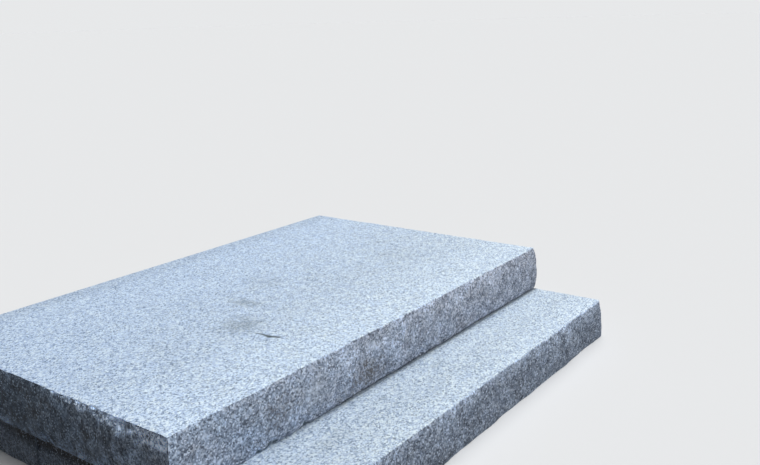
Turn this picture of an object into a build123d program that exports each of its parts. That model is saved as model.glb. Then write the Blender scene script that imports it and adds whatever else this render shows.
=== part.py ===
from build123d import *

import math
import os

# Outdoor granite steps: one landing slab over one front step, with a base course of granite
# stones set back under the sides and rear of the landing. All sizes are in millimetres.
# +X runs to the right along the steps, +Y runs from the front step back to the landing's rear
# and +Z is up. The origin is at the foot of the steps, under the middle of their outline.

# The landing and the front step are the same length and their ends line up
stair_width = 1828.8

# Landing slab, sawn on its bed and rear, split on its front and ends
landing_depth = 1219.2
landing_thickness = 174.8

# Front step, which runs back under the landing
tread_depth = 300.0
step_overlap = 55.6
step_height = 157.0
step_buried = 20.8  # how far the real stone goes on below its visible foot, as its face shows

# Joints between stones
bed_joint = 3.0  # under the landing, held open by shims
end_joint = 4.0  # between the ends of neighbouring stones

# Base course under the sides and rear of the landing
base_thickness = 152.4
side_setback = 45.0
rear_setback = 25.0
side_front_stone_length = 640.0
rear_end_stone_length = 452.0

# Shims in the bed joint
shim_length = 75.0
shim_width = 38.0
shim_inset = 130.0  # from a stone's end to the middle of its shim

# Split faces: how far each stands out past its pitch line at the middle of its height
landing_crown = 12.0
step_crown = 9.0
base_crown = 7.0
foot_reach = 3.0  # what is left of that at the stone's bed
belly_power = 2.6  # a high number makes a flat belly with sharp shoulders

# Swells along a split face, as wavelengths and heights
long_swell = 610.0
long_swell_height = 1.8
middle_swell = 283.0
middle_swell_height = 2.2
short_swell = 131.0
short_swell_height = 1.1
arris_share = 0.35  # how much of the swells is left at the top edge
base_roughness = 0.6  # how much of them the smaller base stones have

# Grid of points that a split face is drawn through
point_spacing = 33.0
base_point_spacing = 110.0
point_rows = 6
over_run = 0.12  # how far the grid runs past bed and top, as a share of the height
split_spare = 4.0  # what splitting takes off at the least

# Chips knocked off the landing's edges. Each leaves the hollow of a ball, and is given by its
# place along the edge, as a share of it from its front or left end, by the ball's radius, and
# by how far it bites past the edge. Nicks come off a top edge from above, and scars and bed
# chips come off sideways.
nick_slope = 0.9  # rise of a nick's direction against its run
left_nicks = ((0.246, 50.0, 6.0), (0.304, 30.0, 4.5), (0.337, 38.0, 4.0))
front_nicks = ((0.084, 60.0, 3.5), (0.548, 70.0, 4.0))
left_scars = ((0.028, 50.0, 2.0), (0.092, 70.0, 0.5), (0.147, 95.0, 2.5), (0.205, 60.0, 1.0))
left_bed_chips = ((0.18, 32.0, 1.5), (0.445, 60.0, 3.0), (0.66, 42.0, 2.0), (0.86, 36.0, 2.5))
front_bed_chips = (
    (0.143, 24.0, 1.5),
    (0.174, 30.0, 3.5),
    (0.248, 42.0, 2.5),
    (0.374, 55.0, 2.0),
    (0.55, 45.0, 1.5),
    (0.745, 52.0, 1.5),
)

# Where the swells of each stone start, so that no two split faces are alike
landing_phase = 0.6
step_phase = 2.9
base_phase = 1.1
base_phase_step = 2.0
side_phase = {"front": 0.0, "left": 1.7, "right": 3.4}

# Heights and places worked out from the sizes above
landing_bed = step_height + bed_joint
landing_top = landing_bed + landing_thickness
steps_depth = tread_depth + landing_depth + step_crown
rear_y = steps_depth / 2
landing_front_y = rear_y - landing_depth
step_front_y = landing_front_y - tread_depth
step_back_y = landing_front_y + step_overlap
half_width = stair_width / 2
base_front_y = step_back_y + end_joint
base_rear_y = rear_y - rear_setback
base_outer_x = half_width - side_setback
base_inner_x = base_outer_x - base_thickness


def belly(up):
    """Share of the crown at a share of the stone's height: 1 at mid height, 0 at bed and top."""
    return 1 - abs(2 * up - 1) ** belly_power


def swell(along, up, phase):
    """Rise and fall along a split face, in mm."""
    turn = 2 * math.pi
    long_part = long_swell_height * math.sin(turn * along / long_swell + phase)
    middle_part = middle_swell_height * math.sin(
        turn * along / middle_swell + 2.3 * phase + 2.0 * up
    )
    short_part = short_swell_height * math.sin(
        turn * along / short_swell + 4.1 * phase - 3.0 * up
    )
    return long_part + middle_part + short_part


def split_reach(along, up, crown, roughness, phase):
    """How far a split face stands out past its pitch line."""
    share = max(0.0, belly(up))
    foot = foot_reach * (1 - up)
    rough = swell(along, up, phase) * (arris_share + (1 - arris_share) * share)
    return crown * belly(up) + foot + roughness * rough


def cut_room(crown):
    """How much larger a block starts on a side that is to be split."""
    swells = long_swell_height + middle_swell_height + short_swell_height
    return crown + foot_reach + swells + split_spare


def spread(start, end, spacing):
    """Evenly spaced numbers from start to end, about one spacing apart."""
    count = max(2, math.ceil((end - start) / spacing))
    return [start + (end - start) * step / count for step in range(count + 1)]


def split_cutter(side, box, crown, roughness, phase, buried, spacing):
    """What splitting takes off one side of a block: all that is outside the split surface."""
    x_low, x_high, y_low, y_high, z_low, z_high = box
    start, end = (x_low, x_high) if side == "front" else (y_low, y_high)
    past_end = 2 * cut_room(crown)
    height = z_high - z_low + buried
    rows = []
    for along in spread(start - past_end, end + past_end, spacing):
        row = []
        for level in range(point_rows):
            up = -over_run + (1 + 2 * over_run) * level / (point_rows - 1)
            z = z_low - buried + up * height
            out = split_reach(along, up, crown, roughness, phase)
            if side == "front":
                row.append(Vector(along, y_low - out, z))
            elif side == "left":
                row.append(Vector(x_low - out, along, z))
            else:
                row.append(Vector(x_high + out, along, z))
        rows.append(row)
    surface = Face.make_surface_from_array_of_points(rows, tol=0.05)
    outward = {"front": (0, -1, 0), "left": (-1, 0, 0), "right": (1, 0, 0)}[side]
    return Solid.extrude(surface, Vector(*outward) * past_end)


def stone(box, split_sides, crown, roughness, phase, buried=0.0, spacing=point_spacing):
    """A block of granite between sawn faces, with the named sides split off rough."""
    x_low, x_high, y_low, y_high, z_low, z_high = box
    room = cut_room(crown)
    block_x_low = x_low - (room if "left" in split_sides else 0)
    block_x_high = x_high + (room if "right" in split_sides else 0)
    block_y_low = y_low - (room if "front" in split_sides else 0)
    block = Box(
        block_x_high - block_x_low,
        y_high - block_y_low,
        z_high - z_low,
        align=(Align.MIN, Align.MIN, Align.MIN),
    ).moved(Location((block_x_low, block_y_low, z_low)))
    for side in split_sides:
        side_start = phase + side_phase[side]
        block -= split_cutter(side, box, crown, roughness, side_start, buried, spacing)
    return block


def left_edge(share, z):
    return Vector(-half_width, landing_front_y + share * landing_depth, z)


def front_edge(share, z):
    return Vector(-half_width + share * stair_width, landing_front_y, z)


def chip(place, outward, slope, radius, bite):
    """The ball whose hollow is left in an edge where a chip came off."""
    away = (outward + Vector(0, 0, slope)).normalized()
    return Sphere(radius).moved(Location(place + away * (radius - bite)))


def landing_chips():
    left, front = Vector(-1, 0, 0), Vector(0, -1, 0)
    chips = []
    for share, radius, bite in left_nicks:
        chips.append(chip(left_edge(share, landing_top), left, nick_slope, radius, bite))
    for share, radius, bite in front_nicks:
        chips.append(chip(front_edge(share, landing_top), front, nick_slope, radius, bite))
    for share, radius, bite in left_scars:
        chips.append(chip(left_edge(share, landing_top), left, 0, radius, bite))
    for share, radius, bite in left_bed_chips:
        chips.append(chip(left_edge(share, landing_bed), left, 0, radius, bite))
    for share, radius, bite in front_bed_chips:
        chips.append(chip(front_edge(share, landing_bed), front, 0, radius, bite))
    return chips


def landing_slab():
    box = (-half_width, half_width, landing_front_y, rear_y, landing_bed, landing_top)
    slab = stone(box, ("front", "left", "right"), landing_crown, 1.0, landing_phase)
    for ball in landing_chips():
        slab -= ball
    return slab


def front_step():
    box = (-half_width, half_width, step_front_y, step_back_y, 0, step_height)
    return stone(box, ("front", "left", "right"), step_crown, 1.0, step_phase, step_buried)


def side_base_stones(side):
    """The two stones of the base course under one side of the landing."""
    if side == "left":
        x_low, x_high = -base_outer_x, -base_inner_x
    else:
        x_low, x_high = base_inner_x, base_outer_x
    split_y = base_front_y + side_front_stone_length
    runs = {
        "front": (base_front_y, split_y),
        "rear": (split_y + end_joint, base_rear_y),
    }
    stones = {}
    for number, (place, (y_low, y_high)) in enumerate(runs.items()):
        box = (x_low, x_high, y_low, y_high, 0, step_height)
        phase = base_phase + number * base_phase_step
        solid = stone(
            box, (side,), base_crown, base_roughness, phase, step_buried, base_point_spacing
        )
        stones[f"{side}_base_{place}_stone"] = (solid, box)
    return stones


def rear_base_stones():
    """The three sawn stones of the base course under the rear of the landing."""
    inner_x = base_inner_x - end_joint
    middle_x = inner_x - rear_end_stone_length
    runs = {
        "left": (-inner_x, -middle_x),
        "middle": (-middle_x + end_joint, middle_x - end_joint),
        "right": (middle_x, inner_x),
    }
    stones = {}
    for place, (x_low, x_high) in runs.items():
        box = (x_low, x_high, base_rear_y - base_thickness, base_rear_y, 0, step_height)
        solid = stone(box, (), base_crown, base_roughness, base_phase)
        stones[f"rear_base_{place}_stone"] = (solid, box)
    return stones


def shim(x, y, along_x):
    """A packing shim in the bed joint, between a supporting stone and the landing."""
    size_x, size_y = (shim_length, shim_width) if along_x else (shim_width, shim_length)
    pad = Box(size_x, size_y, bed_joint, align=(Align.CENTER, Align.CENTER, Align.MIN))
    return pad.moved(Location((x, y, step_height)))


def step_shims():
    y = landing_front_y + step_overlap / 2
    reach = half_width - shim_inset
    return {
        "step_left_shim": shim(-reach, y, True),
        "step_middle_shim": shim(0, y, True),
        "step_right_shim": shim(reach, y, True),
    }


def base_shims(stones):
    """Two shims on each side stone and one on each rear stone."""
    shims = {}
    for name, (_, box) in stones.items():
        x_low, x_high, y_low, y_high = box[:4]
        x_middle = (x_low + x_high) / 2
        y_middle = (y_low + y_high) / 2
        label = name.replace("_stone", "")
        if name.startswith("rear"):
            shims[f"{label}_shim"] = shim(x_middle, y_middle, True)
        else:
            shims[f"{label}_shim_1"] = shim(x_middle, y_low + shim_inset, False)
            shims[f"{label}_shim_2"] = shim(x_middle, y_high - shim_inset, False)
    return shims


def build_parts():
    base = {}
    base.update(side_base_stones("left"))
    base.update(side_base_stones("right"))
    base.update(rear_base_stones())
    parts = {"landing_slab": landing_slab(), "front_step": front_step()}
    parts.update({name: solid for name, (solid, _) in base.items()})
    parts.update(step_shims())
    parts.update(base_shims(base))
    return parts


os.makedirs("parts", exist_ok=True)
for part_name, part in build_parts().items():
    export_step(part, f"parts/{part_name}.step")
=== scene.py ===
import itertools
import math
from collections import namedtuple

import bpy
import numpy as np
from bpy.props import FloatProperty, FloatVectorProperty, PointerProperty
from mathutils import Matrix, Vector
from mathutils.geometry import delaunay_2d_cdt


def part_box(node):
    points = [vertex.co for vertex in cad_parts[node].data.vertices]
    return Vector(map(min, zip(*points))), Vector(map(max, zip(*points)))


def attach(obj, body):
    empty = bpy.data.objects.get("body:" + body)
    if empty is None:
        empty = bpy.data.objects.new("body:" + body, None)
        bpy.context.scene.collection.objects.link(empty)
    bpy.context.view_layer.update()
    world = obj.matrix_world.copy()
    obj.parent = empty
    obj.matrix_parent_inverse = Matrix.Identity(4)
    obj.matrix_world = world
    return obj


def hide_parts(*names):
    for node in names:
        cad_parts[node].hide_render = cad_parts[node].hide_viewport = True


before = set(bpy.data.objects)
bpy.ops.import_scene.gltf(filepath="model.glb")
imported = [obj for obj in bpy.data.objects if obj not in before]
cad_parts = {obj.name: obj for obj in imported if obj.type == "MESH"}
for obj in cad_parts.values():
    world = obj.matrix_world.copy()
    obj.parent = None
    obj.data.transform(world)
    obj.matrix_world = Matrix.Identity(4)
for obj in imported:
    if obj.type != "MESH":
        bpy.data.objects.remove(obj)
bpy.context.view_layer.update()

bl_info = {
    "name": "Granite steps",
    "version": (1, 0, 0),
    "blender": (4, 5, 0),
    "location": "3D View > Sidebar > Steps",
    "description": "Dresses a pair of granite entrance steps with split and flamed stone",
    "category": "Object",
}

# Lengths are in metres. +X runs to the right along the steps, +Y runs from the front step back
# to the landing's rear, and +Z is up.
BODY = "root"
FOOT = 0.001  # a stone that starts below this goes on down past its visible foot
FLOOR_LEVEL = -0.0005  # just under the steps

# Sides of a stone in the order of its points, their outward directions, and the two sides that
# meet at each corner
SIDES = ("left", "front", "right", "rear")
OUTWARD = {
    "left": Vector((-1, 0, 0)),
    "front": Vector((0, -1, 0)),
    "right": Vector((1, 0, 0)),
    "rear": Vector((0, 1, 0)),
}
CORNERS = (("left", "rear"), ("left", "front"), ("right", "front"), ("right", "rear"), ("left", "rear"))
OPEN_SIDES = ("left", "front", "right")  # the split sides of the landing and the front step
FLAMED, SPLIT, SAWN = range(3)  # order of a stone's finishes

# Relief of a split face: how flat its belly is, and its swells, each as its wavelength, its
# height, its share of the stone's phase and how far it leans with height
BELLY_POWER = 2.6
SWELLS = ((0.610, 0.0018, 1.0, 0.0), (0.283, 0.0022, 2.3, 2.0), (0.131, 0.0011, 4.1, -3.0))
ARRIS_SHARE = 0.35  # how much of the swells is left at the top edge
LANDING_ROUGHNESS, STEP_ROUGHNESS, BASE_ROUGHNESS = 1.0, 1.0, 0.6

# Where the swells of each stone's split faces start
LANDING_PHASE = 0.6
STEP_PHASE = 2.9
BASE_PHASE, BASE_PHASE_STEP = 1.1, 2.0
SIDE_PHASE = {"front": 0.0, "left": 1.7, "right": 3.4}
SEEDS_PER_PHASE = 100

# Chips off the landing's edges, each the hollow of a ball: its place along the edge as a share
# of it from its front or left end, the ball's radius, and its bite past the edge
NICK_SLOPE = 0.9
LEFT_NICKS = ((0.246, 0.050, 0.006), (0.304, 0.030, 0.0045), (0.337, 0.038, 0.004))
FRONT_NICKS = ((0.084, 0.060, 0.0035), (0.548, 0.070, 0.004))
LEFT_SCARS = (
    (0.028, 0.050, 0.002),
    (0.092, 0.070, 0.0005),
    (0.147, 0.095, 0.0025),
    (0.205, 0.060, 0.001),
)
LEFT_BED_CHIPS = (
    (0.18, 0.032, 0.0015),
    (0.445, 0.060, 0.003),
    (0.66, 0.042, 0.002),
    (0.86, 0.036, 0.0025),
)
FRONT_BED_CHIPS = (
    (0.143, 0.024, 0.0015),
    (0.174, 0.030, 0.0035),
    (0.248, 0.042, 0.0025),
    (0.374, 0.055, 0.002),
    (0.55, 0.045, 0.0015),
    (0.745, 0.052, 0.0015),
)

# Small chips scattered along the top edges: their places as shares of the edge, their radii,
# their bites as shares of the radius, and each stone's seed and spacing
SMALL_CHIP_PLACES = (0.01, 0.99)
SMALL_CHIP_RADII = (0.008, 0.03)
SMALL_CHIP_BITES = (0.04, 0.14)
LANDING_CHIP_SEED, LANDING_CHIP_SPACING = 5, 0.05
STEP_CHIP_SEED, STEP_CHIP_SPACING = 8, 0.06

# Points of a stone's mesh
SAWN_SPACING = 0.03  # along a sawn side
FEWEST_POINTS = 2  # along a side, or each way across the middle of a top
CORNER_ROUNDS = 4  # rounds it takes to find where two sides meet
CORNER_TURN = 3  # points over which the outward direction turns beside a corner
ROUGH_START = 2  # points over which a split side's relief begins beside a sawn one
FEWEST_ROWS = 8
ROW_CROWDING = 0.1  # how much closer together the rows are near the top
BED_ROWS = (0.0, 0.25, 0.55, 0.95, 1.5)  # heights of the rows at a bed's edge, in row spacings
BED_ROW_CLEARANCE = 0.4  # at least this far above them the next row comes, in row spacings
TOP_BANDS = (0.0008, 0.002, 0.004, 0.007, 0.011, 0.017, 0.026, 0.04)  # insets of the bands
EDGE_STRAIGHTENS_IN = 0.02
CAP_MARGIN, CAP_SPACING = 0.02, 0.045  # of the points in the middle of a top
SAME_POINT = 1e-7
SHARP_ANGLE = math.radians(50)

# Added to a stone's seed for each pattern on it
LUMP_SEED, CRYSTAL_SEED, FINE_SEED = 11, 21, 31
TOP_NICK_SEED, TOP_DIP_SEED, NICK_SEED, WEAR_SEED = 50, 51, 60, 61
HIGHLIGHT_EDGE_SEED, HIGHLIGHT_SPECK_SEED, HIGHLIGHT_PATCH_SEED, FLAKE_SEED = 81, 82, 83, 84

# Scoops and crystals of a split face
SCOOP_FLOORS = 0.5  # how much scoops differ in depth
SCOOP_RIM = 1.4  # squared distance at which a scoop ends, in scoop sizes
LUMP_SIZE, LUMP_HEIGHT = 0.33, 0.4  # of the lumps in a scoop, as shares of the scoop
FINE_SIZE = 0.5  # of the fine crystals, as a share of the others
CRYSTAL_SHARE, FINE_SHARE = 0.6, 0.4
CHIP_SMOOTHING = 0.8  # share of the scoops that a chip takes off
MIDDLE_PIT = 0.45

# Wear of the edges: sizes of its nicks, lumps and dips, and how deep it is with and without them
NICK_SIZE, WEAR_SIZE, DIP_SIZE, DIP_SHARE = 0.011, 0.026, 0.035, 0.6
ARRIS_WEAR, SPLIT_ARRIS_WEAR = 0.0005, 0.002
CORNER_WEAR, CORNER_LUMP_WEAR = 0.0006, 0.004
TOP_WEAR, TOP_NICK_WEAR = 0.0005, 0.0028
FOOT_WEAR, FOOT_LUMP_WEAR, FOOT_NICK_WEAR = 0.1, 1.4, 0.6  # shares of the foot wear

# The landing's foot is least worn toward its left end: X of places along it, and shares
FOOT_WEAR_PLACES = (-0.50, -0.25, 0.10)
FOOT_WEAR_SHARES = (0.0, 0.5, 1.0)

# The painted highlight band under the landing's left arris, where flakes are also cut: Y of
# places along it, how far down it goes there and how strong it is
HIGHLIGHT_PLACES = (-0.455, -0.400, -0.330, -0.250, -0.170, -0.020, 0.060, 0.160)
HIGHLIGHT_DEPTHS = (0.038, 0.036, 0.033, 0.025, 0.018, 0.016, 0.007, 0.0)
HIGHLIGHT_STRENGTHS = (0.50, 0.52, 0.66, 1.0, 1.0, 0.9, 0.25, 0.0)
HIGHLIGHT_REACH, HIGHLIGHT_WANDER, HIGHLIGHT_WANDER_SIZE = 0.45, 1.1, 0.022  # of its lower edge
LEAST_HIGHLIGHT = 1e-6
HIGHLIGHT_END, HIGHLIGHT_FADE = 1.15, 0.3  # where it ends and over how much it fades, in its depth
HIGHLIGHT_SOLID, HIGHLIGHT_BREAK_UP = 1.2, 2.4  # how solid it is at the arris, and how fast that goes
HIGHLIGHT_PATCH_SIZE, HIGHLIGHT_SPECK_SIZE = 0.02, 0.009
HIGHLIGHT_PATCH_GAIN, HIGHLIGHT_PATCH_LOSS = 1.9, 0.9
HIGHLIGHT_IN, HIGHLIGHT_BACK = 0.02, 0.001  # how far in it may lie, and how far back it starts
FLAKE_SIZE, FLAKE_DEPTH = 0.014, 0.0015
FRESH_AND_HIGHLIGHT_GAIN = 3.7  # how much lighter the stone is painted where the highlight is strongest
CHIP_FRESHNESS = 0.14  # share of that in a chip

# Grey stains on the landing and the tread: centre, half its spread each way, and strength
LANDING_STAINS = (
    (-0.321, -0.045, 0.075, 0.085, 0.60),
    (-0.167, 0.105, 0.045, 0.080, 0.52),
    (0.035, 0.215, 0.070, 0.120, 0.16),
    (-0.022, 0.504, 0.030, 0.080, 0.16),
    (0.568, -0.013, 0.100, 0.180, 0.12),
)
TREAD_STAINS = (
    (0.073, -0.540, 0.050, 0.035, 0.25),
    (-0.212, -0.538, 0.026, 0.009, 0.55),
    (-0.389, -0.718, 0.005, 0.006, 0.90),
    (-0.480, -0.576, 0.080, 0.035, 0.22),
)

# Brown stains on the landing's front: X and Z of the centre, half its spread, and strength
RISER_STAINS = (
    (-0.180, 0.209, 0.100, 0.052, 0.66),
    (-0.290, 0.195, 0.060, 0.035, 0.30),
    (-0.194, 0.244, 0.013, 0.016, 1.20),
    (0.377, 0.186, 0.090, 0.025, 0.35),
    (-0.575, 0.250, 0.100, 0.055, 0.43),
    (0.165, 0.250, 0.130, 0.070, 0.20),
)

# Painted highlights on the landing's front, where facets catch the light, given in the same way
RISER_HIGHLIGHTS = ((-0.150, 0.290, 0.042, 0.020, 0.32), (-0.420, 0.250, 0.060, 0.050, 0.30))

# Stains and painted highlights: half their spread into the stone, the scale, detail and roughness
# of their edges and spots, and where they stop being solid and where they end, in their own spread
TOP_STAIN_DEPTH, RISER_STAIN_DEPTH = 0.05, 0.06
STAIN_EDGE, STAIN_WANDER = (42.0, 5.0, 0.8), 0.8
STAIN_SPOTS = (170.0, 2.0, 0.6)
SPOTS_LOW, SPOTS_HIGH = 0.38, 0.62
SPOT_THIN, SPOT_THICK = 0.35, 1.65
STAIN_SOLID, STAIN_END = 0.2, 1.1

# The thin dark mark on the landing: X, Y and width of points along it
MARK_POINTS = (
    (-0.345, -0.140, 0.004),
    (-0.342, -0.167, 0.006),
    (-0.344, -0.203, 0.015),
    (-0.337, -0.220, 0.010),
    (-0.332, -0.232, 0.009),
)

# Painted shadows in notches in the foot of the landing's front: X, Z and width of points along each
NOTCH_SHADOW_POINTS = (
    ((-0.660, 0.160, 0.004), (-0.645, 0.160, 0.014), (-0.630, 0.161, 0.005)),
    ((-0.626, 0.160, 0.005), (-0.604, 0.161, 0.018), (-0.586, 0.164, 0.013), (-0.574, 0.167, 0.003)),
    ((-0.488, 0.159, 0.005), (-0.464, 0.161, 0.019), (-0.440, 0.159, 0.005)),
    ((-0.305, 0.159, 0.004), (-0.285, 0.160, 0.010), (-0.262, 0.159, 0.004)),
)
NOTCH_DEPTH = 0.003  # how far out of the landing's front line they lie
MARK_STRENGTH = 0.95  # of the mark and the painted notch shadows
STROKE_SOLID, STROKE_END = 0.25, 0.75  # where a stroke starts to fade and ends, in its width

# Ways along which painted light and shade, tints and blotches change. The stone is painted
# lightest at its open front right corner and in deepest painted shade at its rear left one.
TOWARD_SHADE = Vector((-0.40, 0.917, 0.0))
LEFTWARD = Vector((-1.0, 0.0, 0.0))
BACKWARD = Vector((0.0, 1.0, 0.0))
UPWARD = Vector((0.0, 0.0, 1.0))
LEANING = Vector((-0.08, 0.0, 1.0))  # up, and a little to the left

# Tints of the finishes, from their warm end to their cool one, and where those ends are
FLAMED_WARM, FLAMED_COOL = (1.03, 1.003, 0.94), (0.98, 1.0, 1.022)
SPLIT_WARM, SPLIT_COOL = (1.05, 0.99, 0.975), (0.915, 1.02, 1.11)
STEP_WARM, STEP_COOL = (1.015, 1.04, 1.09), (0.965, 1.03, 1.145)
BASE_WARM, BASE_COOL = (1.045, 1.0, 0.965), (0.995, 1.015, 1.04)
TINT_FROM, TINT_TO, TINT_WANDER = -0.75, 0.65, 0.2

# Where each mineral after the dark one begins, from 0 to 1: grey, light and white
FLAMED_SHARES = (0.16, 0.45, 0.82)
SPLIT_SHARES = (0.20, 0.60, 0.90)

# Grains: how their edges bend, their dark flecks and their large pale crystals. Scales are in
# grains, and shares and strengths run from 0 to 1.
BEND_SCALE, BEND = 0.7, 0.9
MID_GREY = (0.5, 0.5, 0.5)
FLECK_SCALE, FLECK_SHARE, FLECK_STRENGTH = 2.3, 0.14, 0.55
LARGE_SCALE, LARGE_FROM, LARGE_STRENGTH = 0.55, 0.88, 0.6
SHINIEST, DULLEST = 0.6, 0.92  # roughness of the grains
RELIEF_SCALE, RELIEF_DETAIL, RELIEF_ROUGHNESS, GRAIN_RELIEF = 0.8, 3.0, 0.6, 0.35
SPARED_FROM, SPARED_TO = 0.84, 0.92  # grains that start to keep, and keep, their shine in painted shade and grime
PIT_LOW, PIT_HIGH = 0.25, 0.75  # depths between which a pit's shade changes

# Clouds of tone and tint, each as its scale, detail and roughness
SMALL_CLOUDS, CLOUDS, LARGE_CLOUDS = (45.0, 3.0, 0.6), (14.0, 4.0, 0.6), (2.1, 3.0, 0.5)
TINT_CLOUDS = (14.0, 3.0, 0.6)
FADE_LUMPS, FADE_DETAIL, FADE_ROUGHNESS = 3.0, 4.0, 0.6  # of a fade's ragged edge
MOTTLE_DETAIL, MOTTLE_ROUGHNESS = 2.0, 0.6
NOISE_LOW, NOISE_HIGH = 0.3, 0.7  # the range in which nearly all of a noise texture lies

# How a lattice point is scrambled into a random number: a factor for each of its numbers and
# one for the seed, two shifts with a factor each, a last shift, and which bits are kept
POINT_FACTORS = (374761393, 668265263, 2246822519)
SEED_FACTOR = 3266489917
SCRAMBLES = ((15, 2654435761), (13, 1274126177))
LAST_SHIFT, KEPT_BITS = 11, 0xFFFFFF


def length_setting(name, description, default):
    return FloatProperty(name=name, description=description, default=default, unit="LENGTH")


def colour_setting(name, description, default):
    return FloatVectorProperty(
        name=name, description=description, default=default, subtype="COLOR", size=3
    )


class StepsSizes(bpy.types.PropertyGroup):
    """Sizes of the stones and of the relief on their split faces."""

    stair_width: length_setting(
        "Stair width", "Length of the landing and of the front step at their top edges", 1.8288
    )
    landing_depth: length_setting(
        "Landing depth", "From the landing's front top edge to its sawn rear", 1.2192
    )
    tread_depth: length_setting(
        "Tread depth", "From the front step's top edge back to the landing's", 0.3
    )
    side_setback: length_setting(
        "Side setback", "How far the base course stands behind the landing's end", 0.045
    )
    buried: length_setting(
        "Buried height", "How far each lower stone goes on below its visible foot", 0.0208
    )
    landing_crown: length_setting(
        "Landing crown", "How far the landing's split faces belly out", 0.012
    )
    step_crown: length_setting("Step crown", "How far the front step's split faces belly out", 0.009)
    base_crown: length_setting("Base crown", "How far the base course's split faces belly out", 0.007)
    foot_reach: length_setting(
        "Foot reach", "How far a split face stands out at the bed of its stone", 0.003
    )
    scoop_size: length_setting(
        "Scoop size", "Width of the shallow scoops that splitting leaves", 0.085
    )
    scoop_depth: length_setting("Scoop depth", "Depth of those scoops", 0.0045)
    crystal_size: length_setting(
        "Crystal size", "Size of the broken crystals on a split face", 0.0075
    )
    crystal_depth: length_setting(
        "Crystal depth", "Height of the broken crystals on a split face", 0.0010
    )
    grain_size: length_setting(
        "Grain size", "Size of the mineral grains that colour the granite", 0.0042
    )
    mesh_spacing: length_setting(
        "Mesh spacing", "Distance between points along a split face", 0.0036
    )
    row_spacing: length_setting("Row spacing", "Distance between points up a side", 0.0041)
    edge_wear_reach: length_setting(
        "Edge wear reach", "How far from an edge its wear fades out", 0.0035
    )
    corner_wear_reach: length_setting(
        "Corner wear reach", "How far from an upright corner its wear fades out", 0.007
    )
    foot_wear: length_setting(
        "Foot wear", "How far the landing's bottom edge is broken back", 0.0025
    )
    fresh_depth: length_setting(
        "Fresh depth", "How deep a chip is where its stone looks fresh", 0.0015
    )


class StepsColours(bpy.types.PropertyGroup):
    """Colours of the minerals, stains and studio."""

    flamed_white: colour_setting(
        "Flamed quartz", "Lightest grains of the flamed tops", (0.72, 0.84, 0.95)
    )
    flamed_light: colour_setting(
        "Flamed feldspar", "Most common grains of the flamed tops", (0.56, 0.69, 0.87)
    )
    flamed_grey: colour_setting("Flamed grey", "Grey grains of the flamed tops", (0.38, 0.49, 0.68))
    flamed_dark: colour_setting("Flamed mica", "Dark grains of the flamed tops", (0.20, 0.27, 0.39))
    # Also the colour of the painted highlights on the landing's front
    split_white: colour_setting(
        "Split quartz", "Lightest grains of the split faces, and pale patches", (0.675, 0.76, 0.87)
    )
    split_light: colour_setting(
        "Split feldspar", "Most common grains of the split faces", (0.475, 0.56, 0.685)
    )
    split_grey: colour_setting("Split grey", "Grey grains of the split faces", (0.285, 0.347, 0.443))
    split_dark: colour_setting("Split mica", "Dark grains of the split faces", (0.125, 0.153, 0.203))
    stain: colour_setting(
        "Stain", "Brownish water stains on the landing's front", (0.105, 0.101, 0.100)
    )
    stain_grey: colour_setting(
        "Grey stain", "Grey stains on the landing and the tread", (0.20, 0.25, 0.30)
    )
    # Also the colour of the painted shadows in the notches of the landing's foot
    dark_mark_and_shadow: colour_setting(
        "Dark mark", "A thin dark mark on the landing, and notches in its foot", (0.055, 0.08, 0.09)
    )
    shim: colour_setting("Shim", "The packing shims", (0.02, 0.02, 0.022))
    floor: colour_setting("Floor", "The studio floor as the camera sees it", (0.80, 0.81, 0.82))
    floor_bounce: colour_setting(
        "Floor bounce", "The studio floor as the stone sees it", (0.10, 0.10, 0.11)
    )


class StepsStudio(bpy.types.PropertyGroup):
    """Where the camera and the lamp stand."""

    camera_place: FloatVectorProperty(
        name="Camera place",
        description="Where the camera stands",
        default=(-1.9685, -2.0171, 1.2924),
        subtype="TRANSLATION",
        unit="LENGTH",
        size=3,
    )
    camera_turn: FloatVectorProperty(
        name="Camera turn",
        description="The camera's rotation",
        default=(math.radians(76.718), math.radians(1.592), math.radians(-56.140)),
        subtype="EULER",
        size=3,
    )
    camera_lens: FloatProperty(
        name="Lens",
        description="Focal length on a 36 mm wide frame",
        default=38.347,
        min=1.0,
    )
    camera_shift: FloatVectorProperty(
        name="Lens shift",
        description="Sideways and upward shift of the frame",
        default=(-0.09756, -0.03450),
        size=2,
    )
    sky_lamp_direction: FloatVectorProperty(
        name="Sky lamp direction",
        description="The way from the steps to the broad soft lamp",
        default=(0.36, -0.35, 0.87),
        subtype="DIRECTION",
        size=3,
    )
    sky_lamp_spread: FloatProperty(
        name="Sky lamp spread",
        description="How broad the soft lamp looks from the steps",
        default=math.radians(90),
        subtype="ANGLE",
    )
    sky_lamp_strength: FloatProperty(
        name="Sky lamp strength",
        description="Strength of the broad soft lamp in watts a square metre",
        default=3.40,
        min=0.0,
    )
    ambient: FloatProperty(
        name="Ambient",
        description="Strength of the even light from all round",
        default=0.06,
        min=0.0,
    )
    floor_size: length_setting("Floor size", "Width of the studio floor", 400.0)


def sizes():
    return bpy.context.scene.steps_sizes


def colours():
    return bpy.context.scene.steps_colours


def studio():
    return bpy.context.scene.steps_studio


def lattice(cell, seed):
    """A repeatable random number from 0 to 1 for each whole-number point of a lattice."""
    cell = cell.astype(np.uint64)
    mixed = np.uint64(seed * SEED_FACTOR)
    for axis, factor in enumerate(POINT_FACTORS):
        mixed = mixed + cell[..., axis] * np.uint64(factor)
    for shift, factor in SCRAMBLES:
        mixed = (mixed ^ (mixed >> np.uint64(shift))) * np.uint64(factor)
    return ((mixed >> np.uint64(LAST_SHIFT)) & np.uint64(KEPT_BITS)).astype(float) / KEPT_BITS


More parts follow.
